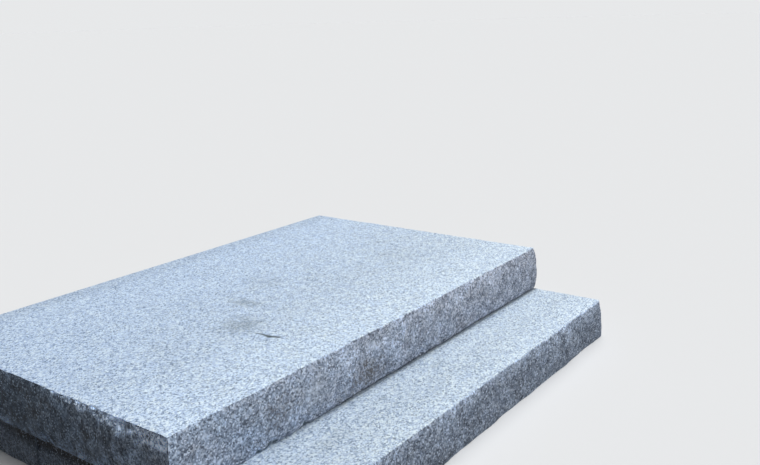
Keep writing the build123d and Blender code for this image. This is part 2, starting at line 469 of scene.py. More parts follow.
def soft_noise(points, size, seed):
    """Smooth random numbers from 0 to 1 at each point, in lumps of about one size."""
    scaled = points / size
    cell = np.floor(scaled)
    part = scaled - cell
    ease = part * part * (3 - 2 * part)
    total = np.zeros(len(points))
    for corner in itertools.product((0, 1), repeat=3):
        toward = np.where(np.array(corner) == 1, ease, 1 - ease)
        total += toward.prod(axis=1) * lattice(cell + corner, seed)
    return total


def scoops(points, size, seed):
    """Shallow bowls with sharp ridges between them, from 0 at the deepest to 1."""
    cell = np.floor(points / size)
    lowest = np.full(len(points), np.inf)
    for offset in itertools.product((-1, 0, 1), repeat=3):
        near = cell + offset
        jitter = np.stack([lattice(near, seed + axis) for axis in range(3)], axis=1)
        away = points / size - (near + jitter)
        floor = SCOOP_FLOORS * lattice(near, seed + 3)
        lowest = np.minimum(lowest, floor + (away * away).sum(axis=1))
    return np.minimum(lowest, SCOOP_RIM) / SCOOP_RIM


def belly(up):
    """Share of the crown at a share of the stone's height: 1 at mid height, 0 at the ends."""
    return 1 - np.abs(2 * up - 1) ** BELLY_POWER


def rough_share(up):
    """Share of a split face's relief at a share of the stone's height."""
    return ARRIS_SHARE + (1 - ARRIS_SHARE) * np.maximum(belly(up), 0)


def swell(along, up, phase):
    """Rise and fall along a split face."""
    total = 0.0
    for wavelength, height, phase_share, lean in SWELLS:
        turn = 2 * math.pi * along / wavelength
        total = total + height * np.sin(turn + phase_share * phase + lean * up)
    return total


def split_reach(along, up, crown, roughness, phase):
    """How far a split face stands out past its pitch line."""
    foot = sizes().foot_reach * (1 - up)
    rough = swell(along, up, phase) * rough_share(up)
    return crown * belly(up) + foot + roughness * rough


class Stone:
    """The mesh of one granite block, with rough sides where it was split."""

    def __init__(self, node, pitch, split, crown, roughness, phase, chips=(), highlighted=False):
        low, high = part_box(node)
        x_low, x_high, y_low, y_high = pitch
        self.node = node
        self.lines = {"left": x_low, "front": y_low, "right": x_high, "rear": y_high}
        self.z_low, self.z_high = low.z, high.z
        self.split = split
        self.crown = crown
        self.roughness = roughness
        self.phase = phase
        self.chips = chips
        self.highlighted = highlighted
        self.buried = sizes().buried if low.z < FOOT else 0.0
        self.seed = round(phase * SEEDS_PER_PHASE)
        self.levels = self.ring_levels()
        self.normals, self.rough, self.corners = self.outward()
        self.count = len(self.rough)

    def noise(self, points, size, pattern_seed):
        return soft_noise(points, size, self.seed + pattern_seed)

    def share_up(self, z):
        return (z - self.z_low + self.buried) / (self.z_high - self.z_low + self.buried)

    def face(self, side, along, up):
        """X of the left or right side, or Y of the front or rear one, at places along it."""
        out = np.zeros_like(along)
        if side in self.split:
            phase = self.phase + SIDE_PHASE[side]
            out = split_reach(along, up, self.crown, self.roughness, phase)
        return self.lines[side] + sum(OUTWARD[side]) * out

    def corner(self, across, along, up):
        """Where two neighbouring sides meet at a height."""
        x, y = np.array(self.lines[across]), np.array(self.lines[along])
        for _ in range(CORNER_ROUNDS):
            x = self.face(across, y, up)
            y = self.face(along, x, up)
        return x, y

    def columns(self, side):
        """Shares along a side, closer together where it is split."""
        start, end = ("front", "rear") if side in ("left", "right") else ("left", "right")
        length = self.lines[end] - self.lines[start]
        spacing = sizes().mesh_spacing if side in self.split else SAWN_SPACING
        count = max(FEWEST_POINTS, round(length / spacing))
        return np.arange(count) / count

    def ring(self, z):
        """Points round the stone at a height, starting at the rear end of the left side."""
        up = self.share_up(z)
        corners = [self.corner(across, along, up) for across, along in CORNERS]
        rows = []
        for side, start, end in zip(SIDES, corners, corners[1:]):
            share = self.columns(side)
            x, y = (first + share * (last - first) for first, last in zip(start, end))
            if side in ("left", "right"):
                x = self.face(side, y, up)
            else:
                y = self.face(side, x, up)
            rows.append(np.stack([x, y, np.full_like(x, z)], axis=1))
        return np.concatenate(rows)

    def outward(self):
        """For each point of a ring: the outward direction, turned evenly round the corners,
        how rough the side is there, and how near it is to a corner of two split sides."""
        reach = sizes().corner_wear_reach / sizes().mesh_spacing
        normals, rough, corner = [], [], []
        for number, side in enumerate(SIDES):
            count = len(self.columns(side))
            place = np.arange(count)
            normal = np.array(OUTWARD[side])
            value = np.full(count, float(side in self.split))
            near = np.zeros(count)
            for beside, away in ((number - 1, place), (number + 1, count - place)):
                neighbour = SIDES[beside % len(SIDES)]
                turn = np.clip(1 - away / CORNER_TURN, 0, 1)[:, None]
                normal = normal + turn * np.array(OUTWARD[neighbour])
                if side in self.split and neighbour in self.split:
                    near += np.exp(-away / reach)
                elif side in self.split:
                    value *= np.clip(away / ROUGH_START, 0, 1)
            normals.append(normal / np.linalg.norm(normal, axis=1)[:, None])
            rough.append(value)
            corner.append(near)
        return np.concatenate(normals), np.concatenate(rough), np.concatenate(corner)

    def ring_levels(self):
        """Heights of the rings, closer together near the top edge and near a bed's edge."""
        height = self.z_high - self.z_low
        spacing = sizes().row_spacing
        rows = max(FEWEST_ROWS, round(height / spacing))
        share = np.arange(rows + 1) / rows
        even = self.z_low + height * (share + ROW_CROWDING * np.sin(math.pi * share) * share)
        if self.buried:
            return even
        bed = self.z_low + spacing * np.array(BED_ROWS)
        return np.concatenate([bed, even[even > bed[-1] + BED_ROW_CLEARANCE * spacing]])

    def knock_chips(self, points):
        """Hollow out the stone wherever a chip's ball overlaps it. Also gives how far each
        point was moved."""
        moved = points.copy()
        for chip in self.chips:
            away = moved - chip.centre
            distance = np.linalg.norm(away, axis=1)
            inside = distance < chip.radius
            direction = away[inside] / distance[inside, None]
            moved[inside] = chip.centre + direction * chip.radius
        moved[:, 2] = np.clip(moved[:, 2], self.z_low, self.z_high)
        return moved, np.linalg.norm(moved - points, axis=1)

    def left_arris_highlight(self, points):
        """How strong the painted highlight is at each point, from 0 to 1: a ragged, patchy band
        under the left arris."""
        if not self.highlighted:
            return np.zeros(len(points))
        x, y, z = points.T
        limit = np.interp(y, HIGHLIGHT_PLACES, HIGHLIGHT_DEPTHS)
        wander = self.noise(points, HIGHLIGHT_WANDER_SIZE, HIGHLIGHT_EDGE_SEED)
        ragged = HIGHLIGHT_REACH + HIGHLIGHT_WANDER * wander
        below = (self.z_high - z) / np.maximum(limit * ragged, LEAST_HIGHLIGHT)
        band = np.clip((HIGHLIGHT_END - below) / HIGHLIGHT_FADE, 0, 1)
        patch = self.noise(points, HIGHLIGHT_SPECK_SIZE, HIGHLIGHT_SPECK_SEED)
        patch = patch + self.noise(points, HIGHLIGHT_PATCH_SIZE, HIGHLIGHT_PATCH_SEED)
        on_left = (x < self.lines["left"] + HIGHLIGHT_IN) & (y > self.lines["front"] + HIGHLIGHT_BACK)
        strength = np.interp(y, HIGHLIGHT_PLACES, HIGHLIGHT_STRENGTHS)
        solid = np.clip(HIGHLIGHT_SOLID - HIGHLIGHT_BREAK_UP * below, 0, 1)
        patchy = np.clip(HIGHLIGHT_PATCH_GAIN * patch - HIGHLIGHT_PATCH_LOSS + solid, 0, 1)
        return strength * band * on_left * patchy

    def relief(self, points, rough, chipped):
        """How deep the scoops and broken crystals of a split face are at each point, and how
        much of that is pits between crystals."""
        size = sizes()
        bowl = 1 - scoops(points, size.scoop_size, self.seed)
        lump = self.noise(points, size.scoop_size * LUMP_SIZE, LUMP_SEED)
        crystal = self.noise(points, size.crystal_size, CRYSTAL_SEED)
        fine = self.noise(points, size.crystal_size * FINE_SIZE, FINE_SEED)
        pit = CRYSTAL_SHARE * crystal + FINE_SHARE * fine
        depth = size.scoop_depth * rough_share(self.share_up(points[:, 2]))
        depth = depth * (bowl + LUMP_HEIGHT * lump) * (1 - CHIP_SMOOTHING * chipped)
        return rough * (depth + size.crystal_depth * pit), pit

    def edge_wear(self, points, rough, corner):
        """How far the top, bottom and corner edges of the split sides are worn back."""
        size = sizes()
        below, above = self.z_high - points[:, 2], points[:, 2] - self.z_low
        nick = self.noise(points, NICK_SIZE, NICK_SEED) ** 2
        lump = self.noise(points, WEAR_SIZE, WEAR_SEED) ** 2
        worn = np.exp(-below / size.edge_wear_reach) * (ARRIS_WEAR + SPLIT_ARRIS_WEAR * rough) * nick
        worn += corner * (CORNER_WEAR + CORNER_LUMP_WEAR * lump)
        if not self.buried:
            ragged = FOOT_WEAR + FOOT_LUMP_WEAR * lump + FOOT_NICK_WEAR * nick
            share = np.interp(points[:, 0], FOOT_WEAR_PLACES, FOOT_WEAR_SHARES)
            ragged *= rough * share * size.foot_wear
            worn += ragged * np.exp(-above / size.edge_wear_reach)
        return worn

    def top_wear(self, points, rough, inset):
        """How far the top is worn down at each point, which is inset from the top edge."""
        nick = self.noise(points, NICK_SIZE, TOP_NICK_SEED) ** 2
        nick += DIP_SHARE * self.noise(points, DIP_SIZE, TOP_DIP_SEED) ** 3
        return (TOP_WEAR + TOP_NICK_WEAR * nick * rough) * np.exp(-inset / sizes().edge_wear_reach)

    def build(self):
        """Make the mesh: rings up the sides, bands over the top edge, and two flat caps. Also gives how
        deep in a pit each point is, and how much lighter it is at fresh chips and the painted
        highlight."""
        count = self.count
        rings = [self.ring(z) for z in self.levels]
        sides = len(rings) * count
        rings += [self.inset_ring(rings[-1], inset) for inset in TOP_BANDS]
        rows = len(rings)
        points, moved = self.knock_chips(np.concatenate(rings))
        left_arris_highlight = np.zeros(rows * count)
        left_arris_highlight[:sides] = self.left_arris_highlight(points[:sides])
        chipped = np.clip(moved / sizes().fresh_depth, 0, 1)
        fresh_and_highlight = np.maximum(CHIP_FRESHNESS * chipped, left_arris_highlight)
        rough = np.tile(self.rough, rows)
        pit = np.full(rows * count, MIDDLE_PIT)
        deep, pit[:sides] = self.relief(points[:sides], rough[:sides], chipped[:sides])
        corner = np.tile(self.corners, len(self.levels))
        deep += self.edge_wear(points[:sides], rough[:sides], corner)
        deep += FLAKE_DEPTH * left_arris_highlight[:sides] * self.noise(points[:sides], FLAKE_SIZE, FLAKE_SEED)
        inset = np.repeat((0.0, *TOP_BANDS), count)
        worn = self.top_wear(points[sides - count:], rough[sides - count:], inset)
        points[:sides] -= np.tile(self.normals, (len(self.levels), 1)) * deep[:, None]
        points[sides - count:, 2] -= worn
        faces = self.side_faces(rows)
        top_points, top_faces = self.cap(points[-count:], len(points), (rows - 1) * count)
        faces += top_faces
        faces.append(list(range(count - 1, -1, -1)))
        extra = len(top_points)
        points = np.concatenate([points, top_points])
        pit = np.concatenate([pit, np.full(extra, MIDDLE_PIT)])
        fresh_and_highlight = np.concatenate([fresh_and_highlight, np.zeros(extra)])
        return points, faces, pit, fresh_and_highlight

    def side_faces(self, rows):
        """Quads that join each ring to the one above it."""
        step = np.arange(self.count)
        after = (step + 1) % self.count
        faces = []
        for row in range(rows - 1):
            low, high = row * self.count, (row + 1) * self.count
            faces.append(np.stack([low + step, low + after, high + after, high + step], axis=1))
        return np.concatenate(faces).tolist()

    def inset_ring(self, edge, inset):
        """The top edge drawn in by a distance, straighter the further in it is."""
        wander = math.exp(-inset / EDGE_STRAIGHTENS_IN)
        inner = {side: line - sum(OUTWARD[side]) * inset for side, line in self.lines.items()}
        band = edge.copy()
        start = 0
        for number, side in enumerate(SIDES):
            share = self.columns(side)
            here = slice(start, start + len(share))
            start += len(share)
            across, along = (0, 1) if side in ("left", "right") else (1, 0)
            first, last = inner[SIDES[number - 1]], inner[SIDES[(number + 1) % len(SIDES)]]
            band[here, across] = inner[side] + wander * (edge[here, across] - self.lines[side])
            band[here, along] = first + share * (last - first)
        return band

    def cap(self, loop, first_new, first_loop):
        """Fill the flat top with even triangles inside the last band."""
        count = len(loop)
        flat = [Vector(point[:2]) for point in loop]
        low = loop[:, :2].min(axis=0) + CAP_MARGIN
        high = loop[:, :2].max(axis=0) - CAP_MARGIN
        across, along = (
            np.linspace(start, end, max(FEWEST_POINTS, round((end - start) / CAP_SPACING)))
            for start, end in zip(low, high)
        )
        flat += [Vector((x, y)) for x in across for y in along]
        edges = [(number, (number + 1) % count) for number in range(count)]
        only_inside = 1
        places, _, faces, sources, _, _ = delaunay_2d_cdt(
            flat, edges, [list(range(count))], only_inside, SAME_POINT
        )
        index = {}
        new_points = []
        for number, source in enumerate(sources):
            original = min(source) if source else None
            if original is not None and original < count:
                index[number] = first_loop + original
            else:
                index[number] = first_new + len(new_points)
                new_points.append((places[number].x, places[number].y, self.z_high))
        wanted = [[index[corner] for corner in face] for face in faces]
        return np.array(new_points).reshape(-1, 3), wanted


def new_object(name, points, faces):
    mesh = bpy.data.meshes.new(name)
    mesh.from_pydata([tuple(point) for point in points], [], faces)
    mesh.validate()
    mesh.update()
    made = bpy.data.objects.new(name, mesh)
    bpy.context.scene.collection.objects.link(made)
    return made


Chip = namedtuple("Chip", "centre radius")


def edge_chips(start, end, outward, slope, chips):
    """The balls whose hollows are left in an edge, each given by its share of the way along it,
    its radius and its bite past the edge."""
    direction = (outward + Vector((0, 0, slope))).normalized()
    return [
        Chip(np.array(start.lerp(end, share) + direction * (radius - bite)), radius)
        for share, radius, bite in chips
    ]


def edge_ends(pitch, side, z):
    """Both ends of an edge on an open side of a stone, from its front or left end."""
    x_low, x_high, y_low, y_high = pitch
    ends = {
        "left": ((x_low, y_low), (x_low, y_high)),
        "front": ((x_low, y_low), (x_high, y_low)),
        "right": ((x_high, y_low), (x_high, y_high)),
    }
    return [Vector((*end, z)) for end in ends[side]]


def small_chips(pitch, z, seed, spacing):
    """Small chips scattered along the top edges of the open sides."""
    random = np.random.default_rng(seed)
    chips = []
    for side in OPEN_SIDES:
        start, end = edge_ends(pitch, side, z)
        for _ in range(round((end - start).length / spacing)):
            share = random.uniform(*SMALL_CHIP_PLACES)
            radius = random.uniform(*SMALL_CHIP_RADII)
            bite = radius * random.uniform(*SMALL_CHIP_BITES)
            chips += edge_chips(start, end, OUTWARD[side], NICK_SLOPE, ((share, radius, bite),))
    return chips


class Nodes:
    """A short way to add and join the nodes of a material or a world."""

    COLUMNS, ACROSS, DOWN = 9, 200, 220  # how the nodes are laid out

    def __init__(self, owner):
        owner.use_nodes = True
        self.tree = owner.node_tree
        self.shader = self.tree.nodes.get("Principled BSDF")
        self.place = 0

    def add(self, kind, inputs=None, **settings):
        node = self.tree.nodes.new(kind)
        self.place += 1
        row, column = divmod(self.place, self.COLUMNS)
        node.location = (-self.ACROSS * column, -self.DOWN * row)
        for key, value in settings.items():
            setattr(node, key, value)
        for key, value in (inputs or {}).items():
            self.feed(node.inputs[key], value)
        return node

    def feed(self, socket, value):
        if isinstance(value, bpy.types.NodeSocket):
            self.tree.links.new(value, socket)
        else:
            socket.default_value = value

    def surface(self, values):
        """Feed the shader's own sockets."""
        for name, value in values.items():
            self.feed(self.shader.inputs[name], value)

    def math(self, operation, first, second=0.0, third=0.0):
        inputs = {0: first, 1: second, 2: third}
        return self.add("ShaderNodeMath", inputs, operation=operation).outputs[0]

    def mix(self, share, first, second, blend="MIX"):
        inputs = {0: share, 6: first, 7: second}
        node = self.add("ShaderNodeMix", inputs, data_type="RGBA", blend_type=blend)
        return node.outputs[2]

    def where(self):
        return self.add("ShaderNodeTexCoord").outputs["Object"]

    def along(self, where, way):
        return self.vector("DOT_PRODUCT", where, way).outputs["Value"]

    def noise(self, where, scale, detail=2.0, roughness=0.5):
        inputs = {"Vector": where, "Scale": scale, "Detail": detail, "Roughness": roughness}
        return self.add("ShaderNodeTexNoise", inputs).outputs[0]

    def wander(self, noise, low, high):
        """A noise spread from a low value to a high one."""
        return self.range(noise, NOISE_LOW, NOISE_HIGH, low, high)

    def cells(self, where, scale):
        """Two random numbers from 0 to 1 for each cell of a crystal pattern."""
        voronoi = self.add("ShaderNodeTexVoronoi", {"Vector": where, "Scale": scale})
        parts = self.add("ShaderNodeSeparateColor", {0: voronoi.outputs["Color"]})
        return parts.outputs[0], parts.outputs[1]

    def steps(self, value, stops):
        """The colour of the last stop that a value has passed."""
        node = self.add("ShaderNodeValToRGB", {0: value})
        ramp = node.color_ramp
        ramp.interpolation = "CONSTANT"
        while len(ramp.elements) < len(stops):
            ramp.elements.new(0.5)
        for element, (place, colour) in zip(ramp.elements, stops):
            element.position = place
            element.color = (*colour, 1)
        return node.outputs[0]

    def range(self, value, low, high, to_low=0.0, to_high=1.0, kind="LINEAR"):
        inputs = {0: value, 1: low, 2: high, 3: to_low, 4: to_high}
        return self.add("ShaderNodeMapRange", inputs, interpolation_type=kind).outputs[0]

    def vector(self, operation, first, second, third=(0.0, 0.0, 0.0)):
        inputs = {0: first, 1: second, 2: third}
        return self.add("ShaderNodeVectorMath", inputs, operation=operation)

    def scaled(self, colour, amount):
        node = self.add("ShaderNodeVectorMath", {0: colour, 3: amount}, operation="SCALE")
        return node.outputs[0]

    def product(self, values):
        total = values[0]
        for value in values[1:]:
            total = self.math("MULTIPLY", total, value)
        return total

    def attribute(self, name):
        return self.add("ShaderNodeAttribute", attribute_name=name).outputs["Fac"]

    def seen(self):
        """1 where the camera or a reflection looks, and 0 where light bounces."""
        path = self.add("ShaderNodeLightPath")
        return self.math("MAXIMUM", path.outputs["Is Camera Ray"], path.outputs["Is Glossy Ray"])


def mineral_colour(nodes, where, palette, shares):
    """Interlocking grains of four minerals, with small dark flecks and a few large pale
    crystals between them. Shares say where each mineral after the dark one begins."""
    white, light, grey, dark = palette
    scale = 1 / sizes().grain_size
    inputs = {"Vector": where, "Scale": scale * BEND_SCALE, "Detail": 1.0}
    warp = nodes.add("ShaderNodeTexNoise", inputs)
    shifted = nodes.vector("SUBTRACT", warp.outputs["Color"], MID_GREY)
    bend = BEND / scale
    bent = nodes.vector("MULTIPLY_ADD", shifted.outputs[0], (bend, bend, bend), where).outputs[0]
    grain, other = nodes.cells(bent, scale)
    colour = nodes.steps(grain, list(zip((0.0, *shares), (dark, grey, light, white))))
    fleck, _ = nodes.cells(bent, scale * FLECK_SCALE)
    is_fleck = nodes.math("LESS_THAN", fleck, FLECK_SHARE)
    colour = nodes.mix(nodes.math("MULTIPLY", is_fleck, FLECK_STRENGTH), colour, (*dark, 1))
    large, _ = nodes.cells(bent, scale * LARGE_SCALE)
    is_large = nodes.math("GREATER_THAN", large, LARGE_FROM)
    colour = nodes.mix(nodes.math("MULTIPLY", is_large, LARGE_STRENGTH), colour, (*white, 1))
    return colour, grain, other, bent


def granite(name, finish, shades=(), stains=(), strokes=()):
    """A granite finish: mineral grains, clouds of tone, a tint, painted light and shade, stains,
    painted highlights, pale fresh chips, dark pits, and a relief of broken crystals."""
    material = bpy.data.materials.new(name)
    nodes = Nodes(material)
    where = nodes.where()
    colour, grain, other, bent = mineral_colour(nodes, where, finish.palette, finish.shares)
    colour = nodes.mix(1.0, colour, tint(nodes, where, finish), "MULTIPLY")
    colour = nodes.scaled(colour, tone(nodes, where, grain, finish, shades))
    # Stains, and the painted highlights on the landing's front, laid on as patches
    for stain in stains:
        colour = nodes.mix(patch_mask(nodes, where, stain), colour, (*stain.colour, 1))
    # The dark mark, and the painted shadows in the notches of the landing's foot
    for stroke in strokes:
        colour = nodes.mix(stroke_mask(nodes, where, stroke), colour, (*colours().dark_mark_and_shadow, 1))
    scale = RELIEF_SCALE / sizes().grain_size
    rough = nodes.noise(bent, scale, RELIEF_DETAIL, RELIEF_ROUGHNESS)
    height = nodes.math("ADD", rough, nodes.math("MULTIPLY", grain, GRAIN_RELIEF))
    bump = nodes.add("ShaderNodeBump", {"Height": height, "Strength": 1.0, "Distance": finish.relief})
    nodes.surface({
        "Base Color": colour,
        "Roughness": nodes.range(other, 0.0, 1.0, SHINIEST, DULLEST),
        "IOR": 1.5,
        "Specular IOR Level": finish.gloss,
        "Normal": bump.outputs[0],
    })
    return material


def tint(nodes, where, finish):
    """The stone's tint, warmer at its open corner and cooler at its sheltered one."""
    wander = nodes.wander(nodes.noise(where, *TINT_CLOUDS), -TINT_WANDER, TINT_WANDER)
    along = nodes.math("ADD", nodes.along(where, TOWARD_SHADE), wander)
    share = nodes.range(along, TINT_FROM, TINT_TO, kind="SMOOTHSTEP")
    return nodes.mix(share, (*finish.warm, 1), (*finish.cool, 1))


def tone(nodes, where, grain, finish, shades):
    """How light the stone is at each place: painted light and shade, clouds and pits. The
    brightest grains keep their shine against the darkening.
    """
    clouds, pits = finish.clouds, finish.pits
    painted_shade_and_grime = [shade(nodes, where) for shade in shades]
    painted_shade_and_grime += [
        nodes.wander(nodes.noise(where, *SMALL_CLOUDS), 1 - clouds, 1 + clouds),
        nodes.wander(nodes.noise(where, *CLOUDS), 1 - clouds, 1 + clouds),
        nodes.wander(nodes.noise(where, *LARGE_CLOUDS), 1 - 0.5 * clouds, 1.0),
        # Darker in pits, partly dirt and partly painted shade, and painted lighter on the ridges
        nodes.range(nodes.attribute("pit"), PIT_LOW, PIT_HIGH, 1 + pits, 1 - pits),
    ]
    shaded_and_grimy = nodes.product(painted_shade_and_grime)
    kept = nodes.range(grain, SPARED_FROM, SPARED_TO, 0.0, finish.spared)
    lost = nodes.math("SUBTRACT", 1.0, shaded_and_grimy)
    light = nodes.math("ADD", shaded_and_grimy, nodes.math("MULTIPLY", lost, kept))
    # Lighter at fresh chips, and at the painted highlight under the left arris
    fresh_and_highlight = nodes.range(nodes.attribute("fresh_and_highlight"), 0.0, 1.0, 1.0, FRESH_AND_HIGHLIGHT_GAIN)
    return nodes.math("MULTIPLY", light, fresh_and_highlight)


def fade(way, start, end, start_shade, end_shade, ragged=0.05):
    """A shade that changes between two places, measured along a way, with a ragged edge."""
    width = abs(end - start)

    def shade(nodes, where):
        noise = nodes.noise(where, FADE_LUMPS / width, FADE_DETAIL, FADE_ROUGHNESS)
        wander = nodes.wander(noise, -ragged * width, ragged * width)
        along = nodes.math("ADD", nodes.along(where, way), wander)
        return nodes.range(along, start, end, start_shade, end_shade, "SMOOTHSTEP")

    return shade


def growing(shade, way, start, end):
    """A shade that comes in between two places, measured along a way."""

    def grown(nodes, where):
        share = nodes.range(nodes.along(where, way), start, end)
        change = nodes.math("SUBTRACT", shade(nodes, where), 1.0)
        return nodes.math("MULTIPLY_ADD", change, share, 1.0)

    return grown


def mottle(way, start, end, size, strength):
    """Patches of light and dark of about one size, that grow stronger along a way."""

    def shade(nodes, where):
        grown = nodes.range(nodes.along(where, way), start, end, 0.0, strength)
        noise = nodes.noise(where, 1 / size, MOTTLE_DETAIL, MOTTLE_ROUGHNESS)
        return nodes.math("MULTIPLY_ADD", nodes.wander(noise, -1.0, 1.0), grown, 1.0)

    return shade


Stain = namedtuple("Stain", "centre reach strength colour")


def flat_stains(places, z, colour):
    """Stains on a flat top at a height."""
    return [
        Stain(Vector((x, y, z)), (across, along, TOP_STAIN_DEPTH), strength, colour)
        for x, y, across, along, strength in places
    ]


def riser_patches(places, y, colour):
    """Stains and painted highlights on a front face."""
    return [
        Stain(Vector((x, y, z)), (along, RISER_STAIN_DEPTH, up), strength, colour)
        for x, z, along, up, strength in places
    ]


def patch_mask(nodes, where, stain):
    """A ragged patch round a place, fading out over its reach along each axis."""
    moved = nodes.vector("SUBTRACT", where, stain.centre).outputs[0]
    shares = tuple(1 / length for length in stain.reach)
    scaled = nodes.vector("MULTIPLY", moved, shares).outputs[0]
    distance = nodes.add("ShaderNodeVectorMath", {0: scaled}, operation="LENGTH").outputs["Value"]
    ragged = nodes.wander(nodes.noise(where, *STAIN_EDGE), -STAIN_WANDER, STAIN_WANDER)
    edge = nodes.math("ADD", distance, ragged)
    noise = nodes.noise(where, *STAIN_SPOTS)
    spots = nodes.range(noise, SPOTS_LOW, SPOTS_HIGH, SPOT_THIN, SPOT_THICK)
    solid = nodes.range(edge, STAIN_SOLID, STAIN_END, stain.strength, 0.0)
    return nodes.math("MULTIPLY", solid, spots)


Stroke = namedtuple("Stroke", "start end start_width end_width")


def stroke_mask(nodes, where, stroke):
    """A thin tapered stroke between two places."""
    run = stroke.end - stroke.start
    moved = nodes.vector("SUBTRACT", where, stroke.start).outputs[0]
    along = nodes.along(moved, run / run.length_squared)
    along = nodes.math("MINIMUM", nodes.math("MAXIMUM", along, 0.0), 1.0)
    nearest = nodes.scaled(run, along)
    away = nodes.add("ShaderNodeVectorMath", {0: moved, 1: nearest}, operation="DISTANCE")
    width = nodes.range(along, 0.0, 1.0, stroke.start_width, stroke.end_width)
    share = nodes.math("DIVIDE", away.outputs["Value"], width)
    return nodes.range(share, STROKE_SOLID, STROKE_END, MARK_STRENGTH, 0.0)


def stroke_chain(places, widths):
    """Strokes that join places one after another."""
    return [Stroke(*ends) for ends in zip(places, places[1:], widths, widths[1:])]


def plastic(name, colour):
    """Dark moulded plastic with a faint grain."""
    material = bpy.data.materials.new(name)
    nodes = Nodes(material)
    dark, light, grain_scale = 0.8, 1.2, 400.0
    speck = nodes.wander(nodes.noise(nodes.where(), grain_scale), dark, light)
    nodes.surface({
        "Base Color": nodes.scaled(colour, speck),
        "Roughness": nodes.range(speck, dark, light, 0.5, 0.7),
    })
    return material


Finish = namedtuple("Finish", "palette shares relief clouds pits spared gloss warm cool")


def minerals(finish):
    """Colours of a finish's four minerals, from the lightest to the darkest."""
    return [getattr(colours(), f"{finish}_{name}") for name in ("white", "light", "grey", "dark")]


def flamed(relief=0.0005, clouds=0.03):
    """The finish of a flamed top."""
    return Finish(
        palette=minerals("flamed"),
        shares=FLAMED_SHARES,
        relief=relief,
        clouds=clouds,
        pits=0.1,
        spared=0.0,
        gloss=0.5,
        warm=FLAMED_WARM,
        cool=FLAMED_COOL,
    )


def sawn():
    """The finish of a sawn bed, rear or end."""
    return flamed(relief=0.0002, clouds=0.06)


def split(warm=SPLIT_WARM, cool=SPLIT_COOL):
    """The finish of a split face."""
    return Finish(
        palette=minerals("split"),
        shares=SPLIT_SHARES,
        relief=0.0008,
        clouds=0.17,
        pits=0.18,
        spared=0.8,
        gloss=0.25,
        warm=warm,
        cool=cool,
    )


def darker_foot():
    """Darker up the foot of the lower stones."""
    return fade(UPWARD, 0.0, 0.05, 0.8, 1.0, ragged=0.3)


def dress(stone, name, materials):
    """Make the stone's piece, give each region its finish and put it in the node's place."""
    points, faces, pit, fresh_and_highlight = stone.build()
    piece = new_object(name, points, faces)
    mesh = piece.data
    for material in materials:
        mesh.materials.append(material)
    order = np.arange(len(mesh.polygons))
    on_side = order < (len(stone.levels) - 1) * stone.count
    index = np.full(len(order), FLAMED, dtype=np.int32)
    index[on_side] = np.where(stone.rough[order[on_side] % stone.count] > 0, SPLIT, SAWN)
    index[-1] = SAWN
    mesh.polygons.foreach_set("material_index", index)
    mesh.polygons.foreach_set("use_smooth", np.ones(len(order), dtype=bool))
    mesh.set_sharp_from_angle(angle=SHARP_ANGLE)
    for attribute, values in (("pit", pit), ("fresh_and_highlight", fresh_and_highlight)):
        made = mesh.attributes.new(attribute, "FLOAT", "POINT")
        made.data.foreach_set("value", values.astype(np.float32))
    mesh.update()
    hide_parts(stone.node)
    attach(piece, BODY)


def stair_sides():
    """X of the left and right ends of the stair, and Y of the landing's front and rear."""
    half = sizes().stair_width / 2
    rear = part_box("landing_slab")[1].y
    return -half, half, rear - sizes().landing_depth, rear


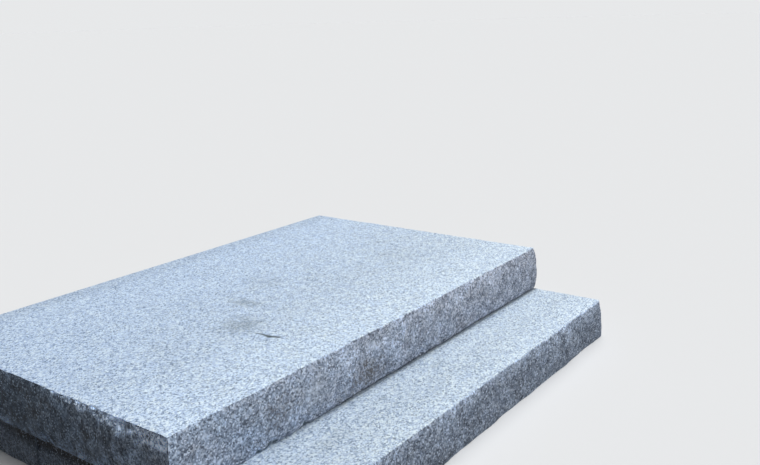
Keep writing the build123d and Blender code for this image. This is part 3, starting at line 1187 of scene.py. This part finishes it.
class STEPS_OT_landing(bpy.types.Operator):
    """Make the landing slab"""

    bl_idname = "steps.landing"
    bl_label = "Landing slab"

    def execute(self, context):
        pitch = stair_sides()
        low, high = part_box("landing_slab")
        top, bed = high.z, low.z
        chips = []
        for side, z, slope, places in (
            ("left", top, NICK_SLOPE, LEFT_NICKS),
            ("front", top, NICK_SLOPE, FRONT_NICKS),
            ("left", top, 0.0, LEFT_SCARS),
            ("left", bed, 0.0, LEFT_BED_CHIPS),
            ("front", bed, 0.0, FRONT_BED_CHIPS),
        ):
            chips += edge_chips(*edge_ends(pitch, side, z), OUTWARD[side], slope, places)
        chips += small_chips(pitch, top, LANDING_CHIP_SEED, LANDING_CHIP_SPACING)
        crown = sizes().landing_crown
        relief = (crown, LANDING_ROUGHNESS, LANDING_PHASE)
        stone = Stone("landing_slab", pitch, OPEN_SIDES, *relief, chips, highlighted=True)
        front, rear = pitch[2:]
        materials = (
            self.top_finish(front, rear, top),
            self.split_finish(front, bed, top),
            granite("landing_sawn", sawn()),
        )
        dress(stone, "landing_stone", materials)
        return {"FINISHED"}

    def top_finish(self, front, rear, top):
        shades = (
            # painted light: lighter to the right
            fade(LEFTWARD, -0.9, 0.9, 1.05, 0.96),
            fade(BACKWARD, front, front + 0.45, 1.12, 0.97),  # painted light along the front edge
            fade(BACKWARD, rear - 0.13, rear - 0.03, 1.0, 0.86, ragged=0.3),  # painted shade along the rear
        )
        stains = flat_stains(LANDING_STAINS, top, colours().stain_grey)
        places = [Vector((x, y, top)) for x, y, _ in MARK_POINTS]
        mark = stroke_chain(places, [width for _, _, width in MARK_POINTS])
        return granite("landing_flamed", flamed(), shades, stains, mark)

    def split_finish(self, front, bed, top):
        rim_foot, rim_top = bed + 0.010, bed + 0.036
        shades = (
            # Painted shade, deepest toward the rear left end
            fade(TOWARD_SHADE, -0.6, 0.6, 1.06, 0.42),
            fade(LEANING, 0.12, 0.31, 0.80, 1.08),
            fade(UPWARD, top - 0.012, top, 1.0, 1.15, ragged=0.4),  # painted highlight along the arris
            # Painted shade along the foot, except at the left, and a painted highlight above it on the
            # ends
            growing(fade(UPWARD, bed, rim_foot, 0.45, 1.0, ragged=0.4), LEFTWARD, 0.45, 0.1),
            growing(fade(UPWARD, rim_foot, rim_top, 2.6, 1.0, ragged=0.4), BACKWARD, -0.46, -0.30),
            # Painted light: the left end is lighter toward the front
            growing(fade(BACKWARD, -0.2, 0.1, 1.15, 0.92), LEFTWARD, 0.65, 0.90),
            # Blotches, strong on the left end and weaker along the front
            mottle(TOWARD_SHADE, -0.05, 0.10, size=0.035, strength=0.70),
            mottle(TOWARD_SHADE, -0.05, 0.10, size=0.090, strength=0.40),
            mottle(TOWARD_SHADE, 0.0, -0.3, size=0.055, strength=0.30),
        )
        stains = riser_patches(RISER_STAINS, front, colours().stain)
        stains += riser_patches(RISER_HIGHLIGHTS, front, colours().split_white)
        # Painted shadows in the notches of the landing's foot, drawn as strokes
        notches = []
        for points in NOTCH_SHADOW_POINTS:
            places = [Vector((x, front - NOTCH_DEPTH, z)) for x, z, _ in points]
            notches += stroke_chain(places, [width for _, _, width in points])
        return granite("landing_split", split(), shades, stains, notches)


class STEPS_OT_front_step(bpy.types.Operator):
    """Make the front step"""

    bl_idname = "steps.front_step"
    bl_label = "Front step"

    def execute(self, context):
        x_low, x_high, landing_front, _ = stair_sides()
        _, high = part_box("front_step")
        front = landing_front - sizes().tread_depth
        pitch = (x_low, x_high, front, high.y)
        chips = small_chips(pitch, high.z, STEP_CHIP_SEED, STEP_CHIP_SPACING)
        crown = sizes().step_crown
        stone = Stone("front_step", pitch, OPEN_SIDES, crown, STEP_ROUGHNESS, STEP_PHASE, chips)
        materials = (
            self.tread_finish(front, landing_front, high.z),
            self.split_finish(high.z),
            granite("step_sawn", sawn()),
        )
        dress(stone, "front_step_stone", materials)
        return {"FINISHED"}

    def tread_finish(self, front, landing_front, top):
        # Painted shade at the foot of the landing's front, and a painted shadow line in the joint
        joint_shade = fade(BACKWARD, landing_front - 0.036, landing_front, 1.0, 0.72, ragged=0.3)
        joint_line = fade(
            BACKWARD, landing_front - 0.014, landing_front - 0.006, 1.0, 0.50, ragged=0.5
        )
        shades = (
            # painted light: lighter to the right
            fade(LEFTWARD, -0.8, 0.7, 1.03, 0.89),
            fade(BACKWARD, front, front + 0.16, 1.13, 0.99, ragged=0.1),  # painted light along the front edge
            growing(joint_shade, LEFTWARD, 0.62, 0.30),
            growing(joint_line, LEFTWARD, 0.62, 0.30),
        )
        stains = flat_stains(TREAD_STAINS, top, colours().stain_grey)
        return granite("step_flamed", flamed(), shades, stains)

    def split_finish(self, top):
        arris = fade(UPWARD, top - 0.010, top, 1.0, 2.8, ragged=0.3)
        shades = (
            # Painted light: lighter toward the top edge
            fade(UPWARD, top - 0.050, top, 0.73, 1.12, ragged=0.2),
            growing(arris, LEFTWARD, 0.2, -0.9),  # painted highlight along the arris, strongest to the right
            mottle(LEFTWARD, 1.0, 0.9, size=0.045, strength=0.26),
            mottle(LEFTWARD, 1.0, 0.9, size=0.090, strength=0.18),
            darker_foot(),
        )
        return granite("step_split", split(STEP_WARM, STEP_COOL), shades)


class STEPS_OT_base_course(bpy.types.Operator):
    """Make the base course under the landing's sides and rear"""

    bl_idname = "steps.base_course"
    bl_label = "Base course"

    def execute(self, context):
        size = sizes()
        outer = size.stair_width / 2 - size.side_setback
        rear = stair_sides()[3]
        # Painted shade on the side stones' sawn ends and inner faces, lifted near the rear
        joint_shade = fade(BACKWARD, rear - 0.10, rear - 0.05, 0.33, 1.0)
        top = granite("base_sawn_top", sawn())
        face = self.split_finish()
        side_materials = (top, face, granite("base_end", sawn(), (joint_shade,)))
        rear_materials = (top, face, granite("base_sawn", sawn()))
        for side in ("left", "right"):
            for number, place in enumerate(("front", "rear")):
                node = f"{side}_base_{place}_stone"
                low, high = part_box(node)
                ends = (-outer, high.x) if side == "left" else (low.x, outer)
                phase = BASE_PHASE + number * BASE_PHASE_STEP
                pitch = (*ends, low.y, high.y)
                stone = Stone(node, pitch, (side,), size.base_crown, BASE_ROUGHNESS, phase)
                dress(stone, f"{side}_base_{place}_block", side_materials)
        for place in ("left", "middle", "right"):
            node = f"rear_base_{place}_stone"
            low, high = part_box(node)
            stone = Stone(node, (low.x, high.x, low.y, high.y), (), 0.0, 0.0, BASE_PHASE)
            dress(stone, f"rear_base_{place}_block", rear_materials)
        return {"FINISHED"}

    def split_finish(self):
        darkest = fade(UPWARD, 0.062, 0.100, 1.0, 0.08, ragged=0.15)
        left_dark = fade(UPWARD, 0.090, 0.108, 1.0, 0.45, ragged=0.2)
        right_dark = fade(UPWARD, 0.104, 0.140, 1.0, 0.45, ragged=0.2)
        shades = (
            # Painted shade, lightest toward the open front right
            fade(TOWARD_SHADE, -0.6, 0.1, 1.42, 0.97),
            # Painted shadow close under the landing's overhang, darkest at the left end's front
            growing(growing(darkest, TOWARD_SHADE, 0.78, 0.66), LEFTWARD, 0.0, 0.5),
            growing(left_dark, LEFTWARD, 0.0, 0.5),
            growing(right_dark, LEFTWARD, 0.5, 0.0),
            darker_foot(),
        )
        return granite("base_split", split(BASE_WARM, BASE_COOL), shades)


class STEPS_OT_shims(bpy.types.Operator):
    """Give the packing shims their finish"""

    bl_idname = "steps.shims"
    bl_label = "Shims"

    def execute(self, context):
        material = plastic("shim_plastic", colours().shim)
        for name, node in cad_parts.items():
            if "shim" in name:
                for slot in node.material_slots:
                    slot.material = material
        return {"FINISHED"}


class STEPS_OT_stage(bpy.types.Operator):
    """Make the floor, the even light all round and the large soft lamp"""

    bl_idname = "steps.stage"
    bl_label = "Stage"

    def execute(self, context):
        setup = studio()
        half = setup.floor_size / 2
        ends = ((-half, -half), (half, -half), (half, half), (-half, half))
        floor = new_object("studio_floor", [(x, y, FLOOR_LEVEL) for x, y in ends], [(0, 1, 2, 3)])
        floor.data.materials.append(self.floor_material())
        context.scene.world = self.make_world()
        data = bpy.data.lights.new("sky_lamp", "SUN")
        data.energy = setup.sky_lamp_strength
        data.angle = setup.sky_lamp_spread
        lamp = bpy.data.objects.new("sky_lamp", data)
        toward = Vector(setup.sky_lamp_direction)
        lamp.rotation_euler = toward.to_track_quat("Z", "Y").to_euler()
        context.scene.collection.objects.link(lamp)
        return {"FINISHED"}

    def floor_material(self):
        material = bpy.data.materials.new("studio_floor")
        nodes = Nodes(material)
        colour = nodes.mix(nodes.seen(), (*colours().floor_bounce, 1), (*colours().floor, 1))
        nodes.surface({"Base Color": colour, "Roughness": 1.0, "Specular IOR Level": 0.0})
        return material

    def make_world(self):
        world = bpy.data.worlds.new("studio")
        nodes = Nodes(world)
        nodes.tree.nodes.clear()
        inputs = {"Color": (1, 1, 1, 1), "Strength": studio().ambient}
        even = nodes.add("ShaderNodeBackground", inputs)
        inputs = {"Color": (*colours().floor, 1), "Strength": 1.0}
        backdrop = nodes.add("ShaderNodeBackground", inputs)
        inputs = {0: nodes.seen(), 1: even.outputs[0], 2: backdrop.outputs[0]}
        mix = nodes.add("ShaderNodeMixShader", inputs)
        nodes.add("ShaderNodeOutputWorld", {"Surface": mix.outputs[0]})
        return world


class STEPS_OT_camera(bpy.types.Operator):
    """Make the camera at the photograph's viewing angle"""

    bl_idname = "steps.camera"
    bl_label = "Camera"

    def execute(self, context):
        setup = studio()
        data = bpy.data.cameras.new("camera")
        data.sensor_width = 36.0
        data.sensor_fit = "HORIZONTAL"
        data.lens = setup.camera_lens
        data.shift_x, data.shift_y = setup.camera_shift
        data.clip_end = 1000.0
        camera = bpy.data.objects.new("camera", data)
        camera.location = setup.camera_place
        camera.rotation_euler = setup.camera_turn
        context.scene.collection.objects.link(camera)
        context.scene.camera = camera
        context.scene.view_settings.view_transform = "Standard"
        return {"FINISHED"}


class STEPS_PT_panel(bpy.types.Panel):
    """Sizes, colours and pieces of the steps"""

    bl_idname = "STEPS_PT_panel"
    bl_label = "Granite steps"
    bl_space_type = "VIEW_3D"
    bl_region_type = "UI"
    bl_category = "Steps"

    def draw(self, context):
        layout = self.layout
        for heading, group in (("Sizes", sizes()), ("Colours", colours()), ("Studio", studio())):
            box = layout.box()
            box.label(text=heading)
            for name in group.bl_rna.properties.keys():
                if name not in ("rna_type", "name"):
                    box.prop(group, name)
        for operator in OPERATORS:
            layout.operator(operator.bl_idname)


OPERATORS = (
    STEPS_OT_camera,
    STEPS_OT_stage,
    STEPS_OT_landing,
    STEPS_OT_front_step,
    STEPS_OT_base_course,
    STEPS_OT_shims,
)
CLASSES = (StepsSizes, StepsColours, StepsStudio, *OPERATORS, STEPS_PT_panel)


def register():
    for made in CLASSES:
        bpy.utils.register_class(made)
    bpy.types.Scene.steps_sizes = PointerProperty(type=StepsSizes)
    bpy.types.Scene.steps_colours = PointerProperty(type=StepsColours)
    bpy.types.Scene.steps_studio = PointerProperty(type=StepsStudio)


def unregister():
    del bpy.types.Scene.steps_sizes
    del bpy.types.Scene.steps_colours
    del bpy.types.Scene.steps_studio
    for made in reversed(CLASSES):
        bpy.utils.unregister_class(made)


def main():
    register()
    bpy.ops.steps.camera()
    bpy.ops.steps.stage()
    bpy.ops.steps.landing()
    bpy.ops.steps.front_step()
    bpy.ops.steps.base_course()
    bpy.ops.steps.shims()


if __name__ == "__main__":
    main()
